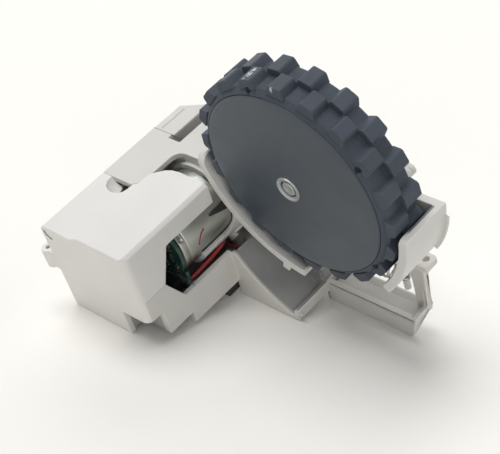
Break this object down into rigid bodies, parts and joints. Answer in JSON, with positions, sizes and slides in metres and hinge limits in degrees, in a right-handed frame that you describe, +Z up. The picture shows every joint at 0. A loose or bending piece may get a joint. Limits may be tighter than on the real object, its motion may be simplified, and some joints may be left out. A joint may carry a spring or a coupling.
{
  "type": "drive wheel module",
  "caption": "Sprung drive wheel of a robot vacuum: lugged tyre on a swing arm with motor, encoder and gear train, in a moulded frame with a motor cover and screw ears.",
  "frame": {"origin": "bottom centre of the bounding box, on the plane the module rests on as pictured", "axes": "+Z up from the rest plane, +X along the module from the motor box to the post, the wheel axle leaning 17 degrees below -Y"},
  "size_m": [0.1234, 0.0768, 0.0988],
  "materials": {
    "housing_plastic": "fine satin moulded texture",
    "cover_plastic": "fine satin moulded texture",
    "arm_plastic": "fine satin moulded texture",
    "tyre_rubber": "dull rubber",
    "cap_plastic": "satin",
    "rim_plastic": "satin",
    "steel": "dull bright",
    "motor_steel": "drawn can",
    "circuit_board": "solder mask",
    "socket_plastic": "plain",
    "bell_plastic": "plain",
    "gear_plastic": "smooth acetal",
    "bronze": "sintered bronze",
    "magnet_dark": "bonded ferrite",
    "wire_red": "smooth insulation",
    "wire_black": "smooth insulation"
  },
  "bodies": {
    "frame": {"frame_housing": "housing_plastic", "motor_cover": "cover_plastic", "cover_screws": "steel", "connector_board": "circuit_board", "connector_socket": "socket_plastic", "tension_spring": "steel", "lead_red": "wire_red", "lead_black": "wire_black"},
    "arm": {"gearbox_shell": "arm_plastic", "gearbox_lid": "arm_plastic", "lid_screws": "steel", "gear_pins": "steel", "axle_bush_front": "bronze", "axle_bush_rear": "bronze", "motor_can": "motor_steel", "motor_end_bell": "bell_plastic", "motor_screws": "steel", "encoder_board": "circuit_board", "encoder_sensor": "socket_plastic"},
    "rotor": {"motor_shaft_pinion": "steel", "encoder_magnet": "magnet_dark"},
    "stage_1": {"stage_1_gear": "gear_plastic"},
    "stage_2": {"stage_2_gear": "gear_plastic"},
    "stage_3": {"stage_3_gear": "gear_plastic"},
    "wheel": {"wheel_rim": "rim_plastic", "tyre": "tyre_rubber", "hub_cap": "cap_plastic", "hub_washer": "steel", "wheel_axle": "steel", "axle_clip": "steel", "output_gear": "gear_plastic"}
  },
  "joints": [
    {"name": "arm_pivot", "type": "hinge", "parent": "frame", "child": "arm", "pos_m": [-0.03217, 0.01544, 0.03231], "axis": [0, -0.9573, -0.289], "range_deg": [-16, 0], "stiffness_Nm_per_rad": 0.35, "springref_deg": -40, "deforming": ["tension_spring", "lead_red", "lead_black"]},
    {"name": "wheel_spin", "type": "hinge", "parent": "arm", "child": "wheel", "pos_m": [0.02303, 0.00356, 0.06476], "axis": [0, -0.9573, -0.289], "continuous": true},
    {"name": "stage_3_spin", "type": "hinge", "parent": "arm", "child": "stage_3", "pos_m": [0.00808, 0.01679, 0.05551], "axis": [0, -0.9573, -0.289], "continuous": true},
    {"name": "stage_2_spin", "type": "hinge", "parent": "arm", "child": "stage_2", "pos_m": [-0.00386, 0.02049, 0.04327], "axis": [0, -0.9573, -0.289], "continuous": true},
    {"name": "stage_1_spin", "type": "hinge", "parent": "arm", "child": "stage_1", "pos_m": [-0.01767, 0.0231, 0.03462], "axis": [0, -0.9573, -0.289], "continuous": true},
    {"name": "rotor_spin", "type": "hinge", "parent": "arm", "child": "rotor", "pos_m": [-0.03217, 0.00204, 0.02826], "axis": [0, -0.9573, -0.289], "continuous": true}
  ],
  "couplings": [
    {"joint": "stage_3_spin", "follows": "wheel_spin", "ratio": -2.2667},
    {"joint": "stage_2_spin", "follows": "wheel_spin", "ratio": 5.8286},
    {"joint": "stage_1_spin", "follows": "wheel_spin", "ratio": -17.069},
    {"joint": "rotor_spin", "follows": "wheel_spin", "ratio": 65.433}
  ]
}
